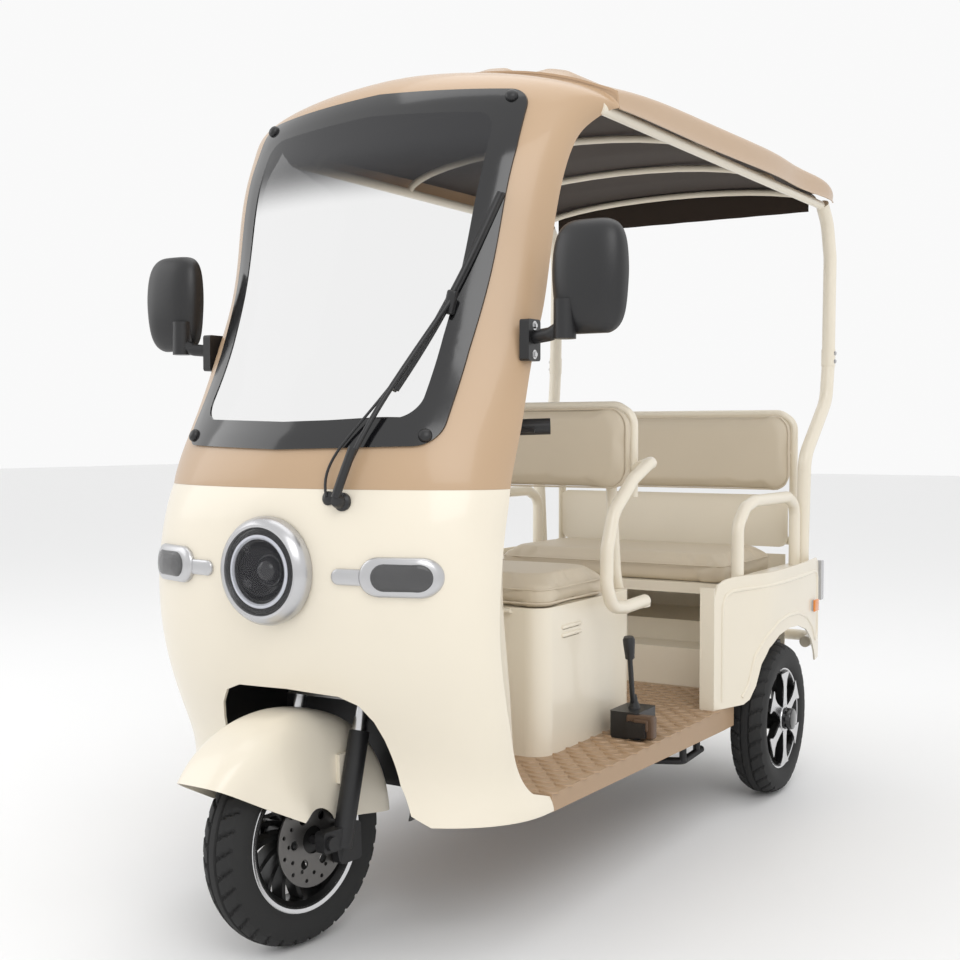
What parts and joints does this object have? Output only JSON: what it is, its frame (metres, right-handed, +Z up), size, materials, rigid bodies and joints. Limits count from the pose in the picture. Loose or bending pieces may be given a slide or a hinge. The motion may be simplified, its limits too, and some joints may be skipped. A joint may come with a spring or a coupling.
{
  "type": "electric tricycle",
  "caption": "Small electric passenger tricycle with a windscreen, a fixed roof on posts, a driver's seat and a rear bench.",
  "frame": {"origin": "on the ground, at the middle of the vehicle's length and width", "axes": "+X to the vehicle's left, -Y forward, +Z up"},
  "size_m": [1.1762, 2.2104, 1.7553],
  "materials": {
    "cream_paint": "glossy cream",
    "tan_paint": "glossy tan",
    "black_plastic": "black",
    "black_steel": "satin black",
    "bright_steel": "bright",
    "clear_screen": "clear",
    "silver_bezel": "satin silver",
    "brown_cloth": "dark brown weave",
    "seat_vinyl": "greige grained vinyl",
    "tyre_rubber": "black rubber",
    "black_alloy": "black with polished lips",
    "battery_case": "black",
    "amber_lens": "lens"
  },
  "bodies": {
    "body": {"front_shell": "cream_paint", "shell_liner": "black_plastic", "dash_panel": "cream_paint", "windshield_frame": "tan_paint", "windshield_border": "black_plastic", "windshield_glass": "clear_screen", "headlight": "silver_bezel", "turn_signals": "silver_bezel", "wiper": "black_plastic", "mirror_left": "black_plastic", "mirror_right": "black_plastic", "roof_panel": "tan_paint", "roof_liner": "brown_cloth", "roof_frame": "cream_paint", "rear_posts": "cream_paint", "floor_pan": "tan_paint", "floor_skirts": "tan_paint", "chassis_frame": "black_steel", "rear_subframe": "black_steel", "head_frame": "black_steel", "under_brace": "black_steel", "rear_axle": "black_steel", "leaf_springs": "black_steel", "driver_seat_box": "cream_paint", "battery_pack": "battery_case", "driver_backrest": "seat_vinyl", "driver_seat_frame": "cream_paint", "parking_brake": "black_plastic", "passenger_tub": "cream_paint", "bench_cushion": "seat_vinyl", "bench_backrest": "seat_vinyl", "rear_panel": "cream_paint", "bench_back_frame": "cream_paint", "side_panel_left": "cream_paint", "side_panel_right": "cream_paint", "armrests": "cream_paint", "tail_lamps": "amber_lens", "rear_bumper": "cream_paint"},
    "seat_lid": {"driver_cushion": "seat_vinyl"},
    "steering": {"fork": "bright_steel", "fork_sliders": "black_steel", "front_fender": "cream_paint", "brake_caliper": "black_steel", "handlebar": "black_plastic"},
    "front_wheel": {"front_tyre": "tyre_rubber", "front_rim": "black_alloy", "brake_disc": "bright_steel"},
    "rear_wheel_left": {"rear_tyre_left": "tyre_rubber", "rear_rim_left": "black_alloy"},
    "rear_wheel_right": {"rear_tyre_right": "tyre_rubber", "rear_rim_right": "black_alloy"}
  },
  "joints": [
    {"name": "steering", "type": "hinge", "parent": "body", "child": "steering", "pos_m": [0, -0.8146, 0.204], "axis": [0, 0.2689, 0.9632], "range_deg": [-27, 43]},
    {"name": "front_wheel_spin", "type": "hinge", "parent": "steering", "child": "front_wheel", "pos_m": [-0.00588, -0.8581, 0.20389], "axis": [0.9903, -0.134, 0.0374], "continuous": true},
    {"name": "rear_left_spin", "type": "hinge", "parent": "body", "child": "rear_wheel_left", "pos_m": [0.428, 0.6515, 0.204], "axis": [1, 0, 0], "continuous": true},
    {"name": "rear_right_spin", "type": "hinge", "parent": "body", "child": "rear_wheel_right", "pos_m": [-0.428, 0.6515, 0.204], "axis": [1, 0, 0], "continuous": true},
    {"name": "seat_lid", "type": "hinge", "parent": "body", "child": "seat_lid", "pos_m": [0, -0.3665, 0.594], "axis": [1, 0, 0], "range_deg": [0, 60]}
  ]
}
